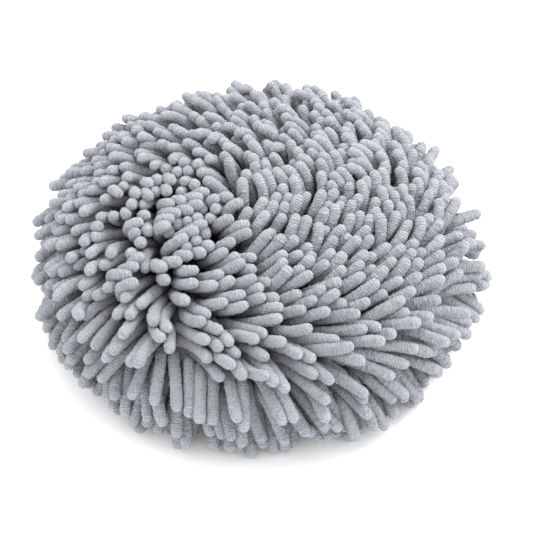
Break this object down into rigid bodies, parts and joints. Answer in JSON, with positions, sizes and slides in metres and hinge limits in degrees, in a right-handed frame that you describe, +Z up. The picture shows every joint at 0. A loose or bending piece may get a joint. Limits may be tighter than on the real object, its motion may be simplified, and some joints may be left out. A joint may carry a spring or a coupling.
{
  "type": "chenille wash brush head",
  "caption": "Round chenille wash brush head: a slip-on cover of chenille noodles over a foam pad and plate, with a swivelling, tilting pole socket.",
  "frame": {"origin": "on the surface that the head lies on, under the centre of the round head; the swivel turns about the Z axis", "axes": "+Z up, away from the floor and out of the chenille face; the folded pole socket lies along +Y; the picture is taken from the -Y side"},
  "size_m": [0.28, 0.28, 0.093],
  "materials": {
    "chenille": "velvety ribbed chenille, light grey",
    "knit_cloth": "knitted polyester, grey",
    "skirt_cloth": "woven polyester, grey",
    "elastic": "braided elastic, white",
    "binding_tape": "woven tape, mid grey",
    "label": "satin tape, blank",
    "foam": "open-cell polyurethane foam",
    "plate_plastic": "fine-textured moulded polypropylene",
    "joint_plastic": "satin moulded nylon",
    "nylon": "natural nylon",
    "steel": "zinc-plated"
  },
  "bodies": {
    "head": {"chenille_ring_1": "chenille", "chenille_ring_2": "chenille", "chenille_ring_3": "chenille", "chenille_ring_4": "chenille", "chenille_ring_5": "chenille", "chenille_ring_6": "chenille", "chenille_ring_7": "chenille", "chenille_ring_8": "chenille", "face_cloth": "knit_cloth", "skirt_cloth": "skirt_cloth", "elastic_band": "elastic", "edge_binding": "binding_tape", "care_label": "label", "foam_pad": "foam", "head_plate": "plate_plastic"},
    "swivel": {"swivel_base": "joint_plastic", "thrust_washer": "nylon", "retaining_washer": "steel", "retaining_screw": "steel", "friction_washers": "nylon", "pivot_bolt": "steel", "pivot_nut": "steel"},
    "socket": {"pole_socket": "joint_plastic"}
  },
  "joints": [
    {"name": "swivel_turn", "type": "hinge", "parent": "head", "child": "swivel", "pos_m": [0, 0, 0.033], "axis": [0, 0, 1], "continuous": true},
    {"name": "socket_tilt", "type": "hinge", "parent": "swivel", "child": "socket", "pos_m": [0, 0, 0.017], "axis": [-1, 0, 0], "range_deg": [0, 180]}
  ]
}
